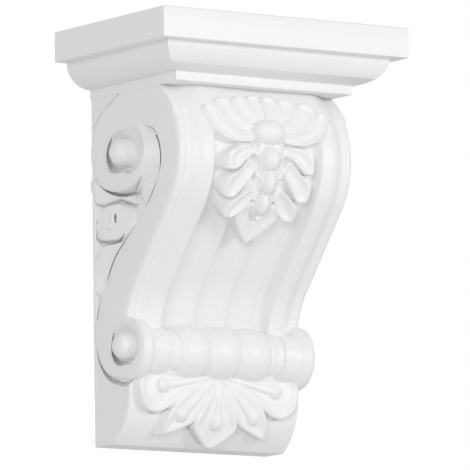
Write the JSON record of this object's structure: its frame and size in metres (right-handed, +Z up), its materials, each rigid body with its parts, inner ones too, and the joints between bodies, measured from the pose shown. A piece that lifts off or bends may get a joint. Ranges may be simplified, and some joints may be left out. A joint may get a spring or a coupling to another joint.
{
  "type": "corbel",
  "caption": "Classical wall corbel: moulded top slab on an S-shaped fluted console with side scrolls, two palmettes, a turned roll and a plain foot block.",
  "frame": {"origin": "centre of the flat back that goes against the wall", "axes": "+X to the right along the wall, -Y straight out of the wall towards the viewer, +Z up"},
  "size_m": [0.2124, 0.142, 0.3],
  "materials": {
    "corbel": "matt white primer on cast polyurethane foam"
  },
  "bodies": {
    "root": {"corbel": "corbel"}
  },
  "joints": []
}
